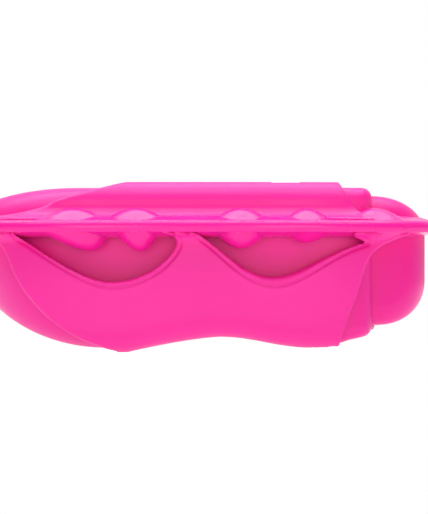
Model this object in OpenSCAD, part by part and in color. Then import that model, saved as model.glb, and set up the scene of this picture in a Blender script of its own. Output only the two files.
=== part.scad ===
// Contoured silicone cupping cup. A squeeze body with an oval rim stands on its mouth.
// X runs along the cup from its round nose (-X) to its stepped tail (+X), +Z is up,
// and the origin lies under the middle of the rim, on the plane of the lowest hem corners.

/* [Rim] */
// Height of the rim's middle above the lowest hem corner
rim_z = 31.2; // [29:0.1:34]
// Reach of the rim towards the nose
rim_nose = 63; // [62:0.5:68]
// Reach of the rim towards the tail
rim_tail = 63; // [62:0.5:68]
// Half the rim's depth, front to rear
rim_half_depth = 40; // [39:0.5:44]
// Thickness of the hoop
hoop_h = 3; // [2.4:0.1:3.4]
// Width of the hoop in plan
hoop_w = 3.5; // [3:0.1:3.8]
// Thickness of the web between the hoop and the body
web_h = 3.6; // [3.5:0.1:4]

/* [Body] */
// Reach of the body shell towards the nose
shell_nose = 58.5; // [56:0.5:58.5]
// Reach of the body shell towards the tail
shell_tail = 44; // [42:0.5:46]
// Half the body shell's depth
shell_half_depth = 26; // [25:0.5:27]
// Height of the body shell's roof above the rim's middle
shell_rise = 9.6; // [9:0.1:10]
// Reach of the inner cup's tail
cup_tail = 57.25; // [55:0.25:57.5]
// Half the inner cup's depth
cup_half_depth = 23; // [22:0.5:23.5]
// Wall of the inner cup
cup_wall = 2.5; // [2:0.1:3]

/* [Grips] */
// Half the depth over the front and rear saddles
grip_half_depth = 35; // [34:0.5:35.5]
// Height of the top cover above the rim's middle
cover_rise = 11.15; // [10.8:0.05:11.5]

/* [Thumb pad] */
// Place of the pad along the cup
pad_x = -3.25; // [-6:0.25:2]
// Radius of the pad's face
pad_r = 10.8; // [9:0.1:11]
// How far the pad presses in
pad_travel = 5; // [3:0.5:6]

/* [Release valve] */
// Place of the valve along the cup
valve_x = 22.5; // [20:0.25:26]
// Radius of the valve seat
seat_r = 3.6; // [3.2:0.1:4]

/* [Hidden] */
pink = [0.98, 0.27, 0.68];
deep_pink = [0.92, 0.16, 0.58];
steel = [0.78, 0.79, 0.8];

$fn = 32;
ring_steps = 64;          // points round a plan outline
low_steps = 8;            // levels from the mouth up to the rim
high_steps = 5;           // levels from the rim up to the roof
curve_steps = 8;          // points on one outline curve
big = 60;                 // reach of a cutting block
skin = 0.01;              // overrun of a cut through a face
ease = 0.06;              // how much wider a hole is than the round piece in it
round_plan = 2.6;         // superellipse exponent of the rim's outline

web_top = rim_z + web_h / 2;
web_under = rim_z - web_h / 2;
cover_z = rim_z + cover_rise;
shell_roof = rim_z + shell_rise;
shell_drop = 30.1;        // depth of the shell's nose below the rim
tail_drop = 28.1;         // depth of the shell's tail below the rim
grip_drop = rim_z + 0.35; // depth of the saddles' lowest corners below the rim, before their lands are cut
cup_rise = 7.65;          // inner cup's roof above the rim
cup_roof = rim_z + cup_rise;
cup_drop = 28;            // inner cup's mouth below the rim
cup_tail_drop = 24.35;    // mouth of the inner cup at the tail

foot_nose = -16.85;       // hem corner towards the nose
foot_tail = 35.75;        // hem corner towards the tail
arch_x = 6.25;            // crown of the arch between the corners
arch_span = 23;           // from the crown of the arch to a corner
arch_drop = 27.35;        // depth of the arch's crown below the rim
nose_dip = 4.2;           // how far the nose corner would hang below the crown, were it not cut flat
tail_dip = 2.8;           // how far the tail corner hangs below the crown

// Each nodule is [place along the cup, face radius, rise above the rim's middle, drop below it].
nodules = [[-30, 5, 4.4, 6.1], [-14.5, 4.8, 4.4, 6.2], [11.25, 4.8, 4.4, 5.6], [27.5, 4.7, 4.3, 4.1], [44.5, 4.8, 4.5, 4.3]];
neck_r = 3;
nodule_inset = 5.05;      // nodule's centre inside the hoop's inner edge

pad_gap = 0.6;            // groove round the thumb pad
pad_core_r = 8.2;
pad_face_h = 2.1;
pad_foot = 35.4;          // underside of the pad's core
collar_r = 9;
diaphragm_t = 0.8;
diaphragm_out_r = 14;
roof_hole_r = 12.4;       // hole in the inner cup's roof, clear of the diaphragm

bore_r = 1.3;
stem_r = 1.2;
seat_floor = 37.6;        // floor of the valve's spring pocket
pocket_r = 2.5;
seat_sink = 0.9;          // how far the seat stays below the cover
seat_flange_r = 5;
flange_t = 1;
button_r = 2.1;
button_under = 41;
wire_r = 0.18;
spring_r = 1.85;
spring_turns = 4;

// Half width of a superellipse of exponent n at a share c of its length.
function superellipse(c, n) = pow(max(0, 1 - pow(abs(c), n)), 1 / n);

// How far a rounded corner of rx by rz cuts in at distance d from its end plane.
function inset(d, rx, rz) = d >= rz ? 0 : rx * (1 - sqrt(max(0, 1 - pow(1 - d / rz, 2))));

// Plan outline at height z: nose at -x0, tail at x1, half depth w, exponents for nose and tail.
function outline(x0, x1, w, n0, n1, z) = [
    for (i = [0:ring_steps - 1])
        let (t = 360 * i / ring_steps, c = cos(t), n = c < 0 ? n0 : n1, a = c < 0 ? x0 : x1)
        [a * c, w * sign(sin(t)) * superellipse(c, n), z]
];

// Heights from the mouth plane to the roof plane, closer together near both.
function levels(drop, rise) = concat(
    [for (i = [low_steps:-1:1]) rim_z - drop * sin(90 * i / low_steps)],
    [for (i = [0:high_steps]) rim_z + rise * sin(90 * i / high_steps)]
);

// A lofted bun. under and over hold [nose rx, nose rz, tail rx, tail rz, edge radius] for its two halves.
function bun(x0, x1, w, n0, n1, drop, rise, under, over) = [
    for (z = levels(drop, rise))
        let (low = z < rim_z, r = low ? under : over, d = low ? z - (rim_z - drop) : rim_z + rise - z)
        outline(x0 - inset(d, r[0], r[1]), x1 - inset(d, r[2], r[3]), w - inset(d, r[4], r[4]), n0, n1, z)
];

// Depth of the saddles' hem below the rim.
function hem_drop(x) = x < arch_x
    ? arch_drop + nose_dip * pow(min(1, (arch_x - x) / arch_span), 1.4)
    : arch_drop + tail_dip / 2 * (1 - cos(180 * min(1, (x - arch_x) / arch_span)));
function shell_hem(x) = min(x < 0 ? shell_drop : tail_drop, hem_drop(x) - 0.6);
function cup_hem(x) = min(cup_drop, hem_drop(x) - 1.8, cup_tail_drop + 0.3 * max(0, shell_tail - x));

// Rings with their part below the rim stretched so that a base depth becomes the hem depth.
function to_grip_hem(rings) = [for (r = rings) [for (p = r) [p.x, p.y, sag(p, grip_drop, hem_drop(p.x))]]];
function to_shell_hem(rings) = [for (r = rings) [for (p = r) [p.x, p.y, sag(p, shell_drop, shell_hem(p.x))]]];
function to_cup_hem(rings) = [for (r = rings) [for (p = r) [p.x, p.y, sag(p, cup_drop, cup_hem(p.x))]]];
function sag(p, base, drop) = p.z < rim_z ? rim_z - (rim_z - p.z) * drop / base : p.z;

function shell_rings() = bun(shell_nose, shell_tail, shell_half_depth, 2.2, 4, shell_drop, shell_rise,
    [shell_nose - 22, shell_drop, 2.5, 2.5, 5], [29, shell_rise, 2.5, 2.5, 4]);
// The inner cup's rings, t inside its outer face. Those of the cavity start below the mouth.
function cup_rings(t) = bun(shell_nose - 4.5 - t, cup_tail - t, cup_half_depth - t, 2.2, 2.5,
    cup_drop + (t > 0 ? 0.5 : 0), cup_rise - t, [34, 27, 12, 10, 4], [26, cup_rise, 12.5, 5.9, 3]);
function grip_rings() = bun(rim_nose - 5, rim_tail - 5, grip_half_depth, round_plan, round_plan, grip_drop, cover_rise,
    [0, 1, 0, 1, 7], [0, 1, 0, 1, 5]);

// The lowest ring again, far below, so that a cut runs out through the mouth.
function run_out(rings) = concat([[for (p = rings[0]) [p.x, p.y, -big]]], rings);

// Cubic curve from p to q with handles a and b, without its last point.
function curve(p, a, b, q) = [
    for (i = [0:curve_steps - 1]) let (t = i / curve_steps, u = 1 - t)
        u * u * u * p + 3 * u * u * t * a + 3 * u * t * t * b + t * t * t * q
];

// Half depth of the rim at a place along the cup.
function rim_depth(x) = rim_half_depth * superellipse(x / (x < 0 ? rim_nose : rim_tail), round_plan);

// Outline of a saddle seen from the front.
saddle_view = concat(
    curve([-56, web_under], [-50, 29.2], [-47.5, 26], [-46, 22.5]),
    curve([-46, 22.5], [-43, 14], [-34, 2.5], [foot_nose, -0.25]),
    [[foot_nose, -1], [33.5, -1], [foot_tail, 2]],
    curve([foot_tail, 2], [38.5, 10], [40.5, 16.5], [43, 23]),
    curve([43, 23], [44.5, 26.5], [49, 28.6], [55, web_under]),
    [[55, web_under]]
);

// Outline of the top cover seen from the front.
cover_view = concat(
    curve([-52, web_top], [-44, 34], [-40, 35], [-36.8, 36.35]),
    curve([-36.8, 36.35], [-31, 38.9], [-27, 39.9], [-16.75, cover_z]),
    [[-16.75, cover_z], [35.4, cover_z], [36.85, 40.4]],
    curve([38.5, 37], [39.4, 35.2], [41.5, 34.4], [47, web_top]),
    [[47, web_top]]
);

// Outlines of the two finger pockets seen from the front.
nose_pocket = concat(
    curve([-46, web_under + skin], [-38, 27.5], [-31, 17.4], [-21, 17.4]),
    curve([-21, 17.4], [-14, 17.4], [-4, 24], [-4, web_under + skin]),
    [[-4, web_under + skin], [-4, web_top - skin]],
    curve([-4, web_top - skin], [-8, 34.2], [-10, 34.6], [-16, 34.6]),
    [[-16, 34.6], [-40, 34.6], [-46, web_top - skin]]
);
tail_pocket = concat(
    curve([-1, web_under + skin], [6, 27], [12, 18.6], [19.5, 18.6]),
    curve([19.5, 18.6], [27, 18.6], [36, 26.5], [52, web_under + skin]),
    [[52, web_under + skin], [50, web_top - skin]],
    curve([50, web_top - skin], [46, 34.2], [42, 34.4], [36, 34.4]),
    [[36, 34.4], [7, 34.6], [-1, web_top - skin]]
);

// One closed skin through a stack of rings with the same even number of points.
// Each end is closed by strips that run straight across, from a point to its mirror image.
module loft(rings) {
    n = len(rings[0]);
    m = len(rings);
    top = (m - 1) * n;
    sides = [for (j = [0:m - 2]) for (i = [0:n - 1]) let (k = (i + 1) % n)
        each [[j * n + i, (j + 1) * n + i, j * n + k], [j * n + k, (j + 1) * n + i, (j + 1) * n + k]]];
    strips = [for (i = [0:n / 2 - 1]) each [
        if (i < n / 2 - 1) [i, i + 1, n - 1 - i],
        if (i > 0) [i, n - 1 - i, n - i]
    ]];
    polyhedron([for (r = rings) each r], concat(sides, strips, [for (f = strips) [for (v = [2:-1:0]) top + f[v]]]));
}

// A closed band: rings that start and end at the same place.
module band(rings) {
    n = len(rings[0]);
    m = len(rings);
    faces = [for (j = [0:m - 1]) for (i = [0:n - 1]) let (k = (i + 1) % n, l = (j + 1) % m)
        each [[j * n + i, l * n + i, j * n + k], [j * n + k, l * n + i, l * n + k]]];
    polyhedron([for (r = rings) each r], faces);
}

// A freeform moulding, kept as one closed skin.
module moulded() {
    resize([0, 0, 0]) children();
}

// A front view outline drawn through the cup from depth y0 to y1.
module through(y0, y1) {
    translate([0, y1, 0]) rotate([90, 0, 0]) linear_extrude(y1 - y0) children();
}

module above(z) {
    translate([-2 * big, -big, z]) cube([4 * big, 2 * big, big]);
}

module below(z) {
    translate([-2 * big, -big, z - 2 * big]) cube([4 * big, 2 * big, 2 * big]);
}

module shell_solid() {
    loft(to_shell_hem(shell_rings()));
}

module cup_solid() {
    loft(to_cup_hem(cup_rings(0)));
}

module cup_cutter() {
    loft(run_out(to_cup_hem(cup_rings(0))));
}

// Both finger pockets, on the side of the cup that the sign gives.
module pockets(side) {
    for (view = [nose_pocket, tail_pocket])
        if (side < 0) through(-big, 0) polygon(view);
        else through(0, big) polygon(view);
}

module round_hole(x, r) {
    translate([x, 0, rim_z]) cylinder(h = big, r = r + ease);
}

module inner_cup() {
    color(deep_pink) moulded() difference() {
        cup_solid();
        loft(run_out(to_cup_hem(cup_rings(cup_wall))));
        round_hole(pad_x, roof_hole_r);
        round_hole(valve_x, seat_r);
    }
}

// Soft bead under the inner cup's mouth, that seals on the skin.
module mouth_lip() {
    bead = [[0.4, 0], [0.6, 0.7], [1, 1.05], [1.5, 1.05], [2, 0.7], [2.2, 0]];
    base = cup_rings(0)[0];
    x0 = -min([for (p = base) p.x]);
    x1 = max([for (p = base) p.x]);
    w = max([for (p = base) p.y]);
    color(deep_pink) band([
        for (s = bead) [
            for (p = outline(x0 - s[0], x1 - s[0], w - s[0], 2.2, 2.5, 0))
                [p.x, p.y, rim_z - cup_hem(p.x) - s[1] - 0.02]
        ]
    ]);
}

module body_shell_lower() {
    color(pink) moulded() difference() {
        shell_solid();
        cup_cutter();
        above(web_under);
    }
}

module body_shell_upper() {
    color(pink) moulded() difference() {
        shell_solid();
        cup_cutter();
        below(web_top);
        round_hole(pad_x, pad_r + pad_gap);
        round_hole(valve_x, seat_r);
        translate([pad_x, 0, cup_roof - 1]) cylinder(h = 1 + diaphragm_t, r = diaphragm_out_r + 2 * ease);
    }
}

module saddle(side) {
    color(pink) moulded() difference() {
        intersection() {
            loft(to_grip_hem(grip_rings()));
            if (side < 0) through(-big, -2) polygon(saddle_view);
            else through(2, big) polygon(saddle_view);
        }
        loft(run_out(to_shell_hem(shell_rings())));
        cup_cutter();
        pockets(side);
        for (n = nodules) nodule(n, side);
        below(0);
    }
}

module front_saddle() {
    saddle(-1);
}

module rear_saddle() {
    saddle(1);
}

module top_cover() {
    color(pink) moulded() difference() {
        intersection() {
            loft(grip_rings());
            through(-big, big) polygon(cover_view);
        }
        shell_solid();
        cup_solid();
        pockets(-1);
        pockets(1);
        for (n = nodules, side = [-1, 1]) nodule(n, side);
        round_hole(pad_x, pad_r + pad_gap);
        round_hole(valve_x, seat_r);
    }
}

function rim_outline(cut, z) = outline(rim_nose - cut, rim_tail - cut, rim_half_depth - cut, round_plan, round_plan, z);

module rim_web() {
    edge = 0.7;
    color(pink) moulded() difference() {
        loft([
            rim_outline(hoop_w + edge, web_under), rim_outline(hoop_w, rim_z - hoop_h / 2),
            rim_outline(hoop_w, rim_z + hoop_h / 2), rim_outline(hoop_w + edge, web_top)
        ]);
        cup_solid();
        for (n = nodules, side = [-1, 1])
            translate([n[0], side * nodule_y(n[0]), 0]) cylinder(h = big, r = neck_r + ease);
    }
}

// The hoop's section: crisp above, rounded below.
module rim_hoop() {
    top = rim_z + hoop_h / 2;
    foot = rim_z - hoop_h / 2;
    section = [[0.3, top], [0, top - 0.3], [0, top - 1.1], [0.25, foot + 1], [0.9, foot + 0.3], [1.8, foot], [hoop_w, foot], [hoop_w, top]];
    color(deep_pink) band([for (s = section) rim_outline(s[0], s[1])]);
}

function nodule_y(x) = rim_depth(x) - hoop_w - nodule_inset;

// One snap-in nodule: a bump on each face of the web, joined by a neck.
module nodule(n, side) {
    r = n[1];
    rise = n[2] - web_h / 2;
    drop = n[3] - web_h / 2;
    bump = [for (i = [0:8]) let (t = i / 8) [r * t, 0.5 + 0.5 * cos(180 * t)]];
    translate([n[0], side * nodule_y(n[0]), rim_z]) rotate_extrude() polygon(concat(
        [for (p = bump) [p.x, web_h / 2 + 0.15 + (rise - 0.15) * p.y]],
        [[r, web_h / 2], [neck_r, web_h / 2], [neck_r, -web_h / 2], [r, -web_h / 2]],
        [for (i = [8:-1:0]) [bump[i].x, -web_h / 2 - 0.15 - (drop - 0.15) * bump[i].y]]
    ));
}

module nodule_number(i, side) {
    color(pink) nodule(nodules[i - 1], side);
}

// The pad that the thumb presses to push air out of the cup.
module thumb_pad() {
    edge = 0.5;
    color(pink) translate([pad_x, 0, 0]) rotate_extrude() polygon([
        [0, pad_foot], [pad_core_r, pad_foot], [pad_core_r, cover_z - pad_face_h], [pad_r, cover_z - pad_face_h],
        [pad_r, cover_z - edge], [pad_r - edge, cover_z], [0, cover_z]
    ]);
}

// The thin cone that seals the pad to the shell and folds down with it.
module pad_diaphragm() {
    top = cup_roof + diaphragm_t;
    color(deep_pink) translate([pad_x, 0, 0]) rotate_extrude() polygon([
        [diaphragm_out_r - 0.05, cup_roof + 0.02], [diaphragm_out_r - 0.05, top - 0.02], [11.9, top - 0.02],
        [collar_r, pad_foot + 1.6], [pad_core_r, pad_foot + 1.6], [pad_core_r, pad_foot],
        [collar_r, pad_foot], [11.7, cup_roof + 0.02]
    ]);
}

// The bush that lines the valve's hole through the roof.
module valve_seat() {
    flange_top = cup_roof - cup_wall;
    color(deep_pink) translate([valve_x, 0, 0]) rotate_extrude() polygon([
        [bore_r, flange_top - flange_t], [seat_flange_r, flange_top - flange_t], [seat_flange_r, flange_top],
        [seat_r, flange_top], [seat_r, cover_z - seat_sink], [pocket_r, cover_z - seat_sink],
        [pocket_r, seat_floor], [bore_r, seat_floor]
    ]);
}

module valve_button() {
    color(pink) translate([valve_x, 0, 0]) rotate_extrude() polygon(concat(
        [[0, button_under], [button_r, button_under]],
        [for (i = [0:6]) [button_r * cos(15 * i), cover_z - 0.5 + 0.5 * sin(15 * i)]]
    ));
}

module valve_stem() {
    foot = cup_roof - cup_wall - flange_t;
    color(steel) translate([valve_x, 0, foot]) cylinder(h = button_under - foot, r = stem_r);
}

// The disc that closes the bore from inside the cup.
module valve_flap() {
    face = cup_roof - cup_wall - flange_t;
    color(deep_pink) translate([valve_x, 0, 0]) rotate_extrude() polygon([
        [0, face - 1.2], [2.6, face - 1.2], [3.4, face - 0.6], [3.4, face], [0, face]
    ]);
}

module valve_spring() {
    sides = 8;
    steps = 14;
    low = seat_floor + wire_r + 0.05;
    high = button_under - wire_r - 0.05;
    rings = [
        for (i = [0:spring_turns * steps])
            let (a = 360 * i / steps, z = low + (high - low) * i / (spring_turns * steps))
            [for (j = [0:sides - 1]) let (b = 360 * j / sides, r = spring_r + wire_r * cos(b))
                [r * cos(a), r * sin(a), z + wire_r * sin(b)]]
    ];
    color(steel) translate([valve_x, 0, 0]) mirror([0, 1, 0]) loft(rings);
}

inner_cup();
mouth_lip();
body_shell_lower();
body_shell_upper();
front_saddle();
rear_saddle();
top_cover();
rim_web();
rim_hoop();
nodule_number(1, -1);  // nodule_front_1
nodule_number(2, -1);  // nodule_front_2
nodule_number(3, -1);  // nodule_front_3
nodule_number(4, -1);  // nodule_front_4
nodule_number(5, -1);  // nodule_front_5
nodule_number(1, 1);  // nodule_rear_1
nodule_number(2, 1);  // nodule_rear_2
nodule_number(3, 1);  // nodule_rear_3
nodule_number(4, 1);  // nodule_rear_4
nodule_number(5, 1);  // nodule_rear_5
thumb_pad();
pad_diaphragm();
valve_seat();
valve_button();
valve_stem();
valve_spring();
valve_flap();
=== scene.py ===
"""Moulds the silicone skins of a contoured body cupping cup round its fixed frame.

Places and shapes are worked out in millimetres and turned to metres as each mesh is made.
X runs from the cup's round nose (-X) to its stepped tail, the front is at -Y, and Z is up.
"""

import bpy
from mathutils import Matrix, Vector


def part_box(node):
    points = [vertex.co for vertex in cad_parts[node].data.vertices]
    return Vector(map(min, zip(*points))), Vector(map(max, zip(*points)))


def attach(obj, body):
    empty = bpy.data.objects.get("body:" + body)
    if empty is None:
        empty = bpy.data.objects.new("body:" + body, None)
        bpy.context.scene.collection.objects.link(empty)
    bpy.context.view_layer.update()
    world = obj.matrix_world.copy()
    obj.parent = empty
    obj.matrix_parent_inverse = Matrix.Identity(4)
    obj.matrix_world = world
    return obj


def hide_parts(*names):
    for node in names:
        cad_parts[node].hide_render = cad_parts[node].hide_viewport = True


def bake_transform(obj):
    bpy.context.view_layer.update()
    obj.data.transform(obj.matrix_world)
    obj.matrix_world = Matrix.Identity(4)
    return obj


bl_info = {
    "name": "Contoured Silicone Cupping Cup",
    "version": (1, 0, 0),
    "blender": (4, 5, 0),
    "location": "3D View > Sidebar > Cupping Cup",
    "description": "Moulds a cupping cup's skins, rim, nodules, thumb pad and release valve",
    "category": "Add Mesh",
}

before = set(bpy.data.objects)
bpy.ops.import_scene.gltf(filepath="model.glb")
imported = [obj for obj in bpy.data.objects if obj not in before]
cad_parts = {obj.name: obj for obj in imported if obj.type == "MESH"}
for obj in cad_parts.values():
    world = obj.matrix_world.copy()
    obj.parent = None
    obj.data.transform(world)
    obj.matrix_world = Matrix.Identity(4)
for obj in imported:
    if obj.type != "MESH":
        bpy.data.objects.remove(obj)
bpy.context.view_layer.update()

import math

import bpy
import numpy as np
from bpy.props import FloatProperty, FloatVectorProperty, PointerProperty, StringProperty
from mathutils import Vector

MM = 0.001


def reach(node, end, axis):
    """How far a CAD node reaches, in millimetres: end is 0 for its low side and 1 for its high side."""
    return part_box(node)[end][axis] / MM


# The frame's own sizes, which every skin is built to.
RIM_Z = (reach("rim_hoop", 0, 2) + reach("rim_hoop", 1, 2)) / 2
HOOP_HALF = (reach("rim_hoop", 1, 2) - reach("rim_hoop", 0, 2)) / 2
RIM_REACH = reach("rim_hoop", 1, 0)
RIM_DEPTH = reach("rim_hoop", 1, 1)
HOOP_WIDTH = RIM_REACH - reach("rim_web", 1, 0)
WEB_TOP = reach("rim_web", 1, 2)
WEB_UNDER = reach("rim_web", 0, 2)
COVER_Z = reach("top_cover", 1, 2)
GRIP_DEPTH = reach("top_cover", 1, 1)
SHELL_ROOF = reach("body_shell_upper", 1, 2)
SHELL_TAIL = reach("body_shell_lower", 1, 0)
SHELL_DEPTH = reach("body_shell_lower", 1, 1)
SHELL_NOSE = RIM_REACH - HOOP_WIDTH - 1.0
CUP_ROOF = reach("inner_cup", 1, 2)
CUP_TAIL = reach("inner_cup", 1, 0)
CUP_NOSE = -reach("inner_cup", 0, 0)
CUP_DEPTH = reach("inner_cup", 1, 1)
CUP_FOOT = reach("inner_cup", 0, 2)
PAD_X = (reach("thumb_pad", 0, 0) + reach("thumb_pad", 1, 0)) / 2
PAD_R = reach("thumb_pad", 1, 0) - PAD_X
VALVE_X = (reach("valve_seat", 0, 0) + reach("valve_seat", 1, 0)) / 2
OVAL_POWER = 2.6
MOUTH_X = 12.6
MOUTH_POWER = 2.4
MOUTH_TOP = 14.0
VALVE_HOLE = 3.7
# The line of the inner cup's foot, and the room that a mould's box leaves round its skin.
CUP_SOLE = ((-12, CUP_FOOT), (6, 5.6), (28, 5.2), (44, 6.75))
SPARE = 1.5

# Where the saddles' hem turns: its two low corners and the crown of the arch between them.
NOSE_CORNER_X = -16.85
TAIL_CORNER_X = 35.6
ARCH_X = 6.25
ARCH_Z = 3.85
TAIL_CORNER_Z = 1.05


# ---------------------------------------------------------------- shaping in front view

def bend(start, lean_out, lean_in, end, steps=12):
    """Points on a smooth bend that leaves and arrives along its two lean points. The end is left out."""
    t = np.linspace(0, 1, steps, endpoint=False)[:, None]
    a, b, c, d = (np.array(p, float) for p in (start, lean_out, lean_in, end))
    return (1 - t) ** 3 * a + 3 * (1 - t) ** 2 * t * b + 3 * (1 - t) * t ** 2 * c + t ** 3 * d


def turn(centre, radii, power, first, last, steps=24):
    """Points on a rounded corner between two angles in degrees. A power over 2 is squarer than an ellipse."""
    angles = np.radians(np.linspace(first, last, steps))
    c, s = np.cos(angles), np.sin(angles)
    x = centre[0] + radii[0] * np.sign(c) * np.abs(c) ** (2 / power)
    z = centre[1] + radii[1] * np.sign(s) * np.abs(s) ** (2 / power)
    return np.column_stack([x, z])


def joined(*strokes):
    """One closed outline from bends, turns and single points."""
    return np.vstack([np.array(s, float).reshape(-1, 2) for s in strokes])


def hem(x):
    """Height of the saddles' wavy hem along the cup."""
    to_nose = np.clip((ARCH_X - x) / (ARCH_X - NOSE_CORNER_X), 0, 1)
    to_tail = np.clip((x - ARCH_X) / 23.0, 0, 1)
    return ARCH_Z * (1 - to_nose ** 1.4) + (TAIL_CORNER_Z - ARCH_Z) * (1 - np.cos(np.pi * to_tail)) / 2


def shell_outline():
    """The body shell seen from the front: a long rounded nose and a short square tail."""
    along = np.linspace(-22, 34, 16)
    return joined(
        turn((-30, RIM_Z), (SHELL_NOSE - 30, SHELL_ROOF - RIM_Z), 1.9, 90, 180),
        turn((-22, RIM_Z), (SHELL_NOSE - 22, 30.1), 2, 180, 270),
        np.column_stack([along, np.minimum(hem(along) + 0.9, 3.4) + 0.15]),
        [(36.2, 2.4), (38.3, 3.1), (40.4, 3.55)],
        turn((SHELL_TAIL - 2.9, 6.7), (2.9, 2.9), 2.1, 282, 360, 8),
        turn((SHELL_TAIL - 2.6, SHELL_ROOF - 2.6), (2.6, 2.6), 2.1, 0, 90, 8),
    )


def cup_outline():
    """The inner cup seen from the front. Only its tail shows past the shell."""
    return joined(
        turn((-22, RIM_Z), (CUP_NOSE - 22, CUP_ROOF - RIM_Z), 1.9, 90, 180),
        turn((-20, RIM_Z), (CUP_NOSE - 20, RIM_Z - CUP_FOOT), 2, 180, 270),
        CUP_SOLE,
        turn((CUP_TAIL - 12, 18.0), (12.1, 11.2), 2.1, 270, 360, 16),
        turn((CUP_TAIL - 13.6, 29), (13.7, CUP_ROOF - 29), 2.1, 0, 90, 16),
    )


def saddle_outline():
    """A saddle seen from the front: its two side edges. The hem closes it below."""
    return joined(
        bend((-52, 29.6), (-49.2, 28.2), (-47.4, 26.2), (-46, 22.5)),
        bend((-46, 22.5), (-43, 14), (-34, 2.5), (NOSE_CORNER_X, -0.25), 20),
        [(NOSE_CORNER_X, -9), (TAIL_CORNER_X - 0.4, -9), (TAIL_CORNER_X, 1.2)],
        bend((TAIL_CORNER_X, 1.2), (37.4, 7.5), (39, 11.5), (40.5, 15.6)),
        bend((40.5, 15.6), (41.5, 18.8), (42.1, 21.2), (43, 23)),
        bend((43, 23), (44.6, 26.2), (48.4, 27.7), (54.5, 29.5)),
        [(54.5, 40), (-52, 40)],
    )


def cover_outline():
    """The top cover seen from the front: a long ramp at the nose and a steep edge at the tail."""
    return joined(
        [(-52.5, 20), (-52.5, 33.4)],
        bend((-52, 33.5), (-48.5, 33.75), (-42.5, 34.4), (-36.8, 36.3)),
        bend((-36.8, 36.3), (-33.6, 38.2), (-29, 39.4), (-23.4, 40.7)),
        [(-23.4, 40.7), (-16.75, COVER_Z), (35.5, COVER_Z), (36.75, 40.45)],
        bend((36.75, 40.45), (38.3, 37.4), (38.9, 35.9), (41, 34.8)),
        bend((41, 34.8), (43, 34.2), (45, 33.9), (48, 33.5)),
        [(48, 33.5), (48, 20)],
    )


def nose_pocket():
    """The lower finger pocket nearer the nose. Its tail end curls back under the rim."""
    return joined(
        [(-44.9, 30)],
        bend((-44.4, 28.9), (-37.2, 25), (-28.6, 17.4), (-20.5, 17.4), 24),
        bend((-20.5, 17.4), (-14, 17.4), (-7.5, 21.6), (-5.2, 25.2), 20),
        bend((-5.2, 25.2), (-3.6, 27.4), (-4.6, 29.3), (-8.4, 29.35), 10),
        [(-8.4, 29.35), (-12, 36), (-44.9, 36)],
    )


def tail_pocket():
    """The lower finger pocket nearer the tail. It runs out to a point under the last nodule."""
    return joined(
        [(-1, 36), (-1, 30)],
        bend((0.6, 29.2), (6.5, 25.8), (12, 18.6), (19.3, 18.6), 24),
        bend((19.3, 18.6), (25.5, 18.6), (32, 24.6), (42.3, 27.2), 24),
        [(42.3, 27.2), (39.4, 28.6), (38.6, 36)],
    )


def upper_nose_pocket():
    """The slot between the cover's foot and the web, nearer the nose."""
    return joined(
        [(-44, 30), (-43.4, 33.8)],
        bend((-43.4, 33.8), (-40, 34.6), (-30, 34.8), (-20, 34.75)),
        bend((-20, 34.75), (-13, 34.7), (-8.5, 34.6), (-4.4, 33.6)),
        [(-4.4, 33.6), (-2.6, 32)],
    )


def upper_tail_pocket():
    """The slot between the cover's foot and the web, nearer the tail."""
    return joined(
        [(5, 32), (6.8, 33.6)],
        bend((6.8, 33.6), (9, 34.5), (14, 34.8), (20, 34.85)),
        bend((20, 34.85), (28, 34.85), (36, 34.6), (40.6, 33.9)),
        [(40.6, 33.9), (41.6, 32)],
    )


# ---------------------------------------------------------------- solids as fields
# A field gives the distance to a surface in millimetres, below zero inside the solid.

def from_outline(x, z, outline):
    """Distance to a closed outline in front view."""
    best = np.full(np.broadcast(x, z).shape, np.inf)
    inside = np.zeros(best.shape, bool)
    for (ax, az), (bx, bz) in zip(outline, np.roll(outline, -1, axis=0)):
        run, rise = bx - ax, bz - az
        length = run * run + rise * rise
        if length < 1e-12:
            continue
        t = np.clip(((x - ax) * run + (z - az) * rise) / length, 0, 1)
        best = np.minimum(best, (x - ax - t * run) ** 2 + (z - az - t * rise) ** 2)
        if rise:
            inside ^= ((az > z) != (bz > z)) & (x < run * (z - az) / rise + ax)
    return np.where(inside, -1, 1) * np.sqrt(best)


def oval(x, y, nose, tail, half, nose_power, tail_power):
    """Distance to an oval in plan, with its own length and squareness towards the nose and the tail."""
    length = np.where(x < 0, nose, tail)
    power = np.where(x < 0, nose_power, tail_power)
    u, v = np.abs(x) / length, np.abs(y) / half
    k = np.maximum((u ** power + v ** power) ** (1 / power), 1e-3)
    slope = k ** (1 - power) * np.hypot(u ** (power - 1) / length, v ** (power - 1) / half)
    return (k - 1) / np.maximum(slope, 1e-3)


def ramp(value, low, high):
    """Smooth step from 0 at low to 1 at high."""
    t = np.clip((value - low) / (high - low), 0, 1)
    return t * t * (3 - 2 * t)


def keep_both(a, b, radius):
    """What two solids share, with the edge between their faces rounded."""
    return np.minimum(-radius, np.maximum(a, b)) + np.hypot(np.maximum(radius + a, 0), np.maximum(radius + b, 0))


def merge(a, b, radius):
    """Two solids joined, with a fillet in the corner between them."""
    return np.maximum(radius, np.minimum(a, b)) - np.hypot(np.maximum(radius - a, 0), np.maximum(radius - b, 0))


def shell_body(x, y, z):
    """The body shell as one solid, before the inner cup is taken out of it."""
    side = from_outline(x, z, SHELL_OUTLINE)
    plan = oval(x, y, SHELL_NOSE + 2.5, SHELL_TAIL + 8, SHELL_DEPTH + 0.6, 2.2, 4)
    radius = 6.5 + 5.5 * ramp(-z, -RIM_Z - 2, -RIM_Z + 4)
    radius = radius + (3.0 - radius) * ramp(x, 20, 38)
    return keep_both(side, plan, radius)


def cup_body(x, y, z):
    """The inner cup as one solid, before it is hollowed."""
    side = from_outline(x, z, CUP_OUTLINE)
    plan = oval(x, y, CUP_NOSE + 1.5, CUP_TAIL + 5, CUP_DEPTH, 2.2, 2.5)
    return keep_both(side, plan, 5.0)


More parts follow.
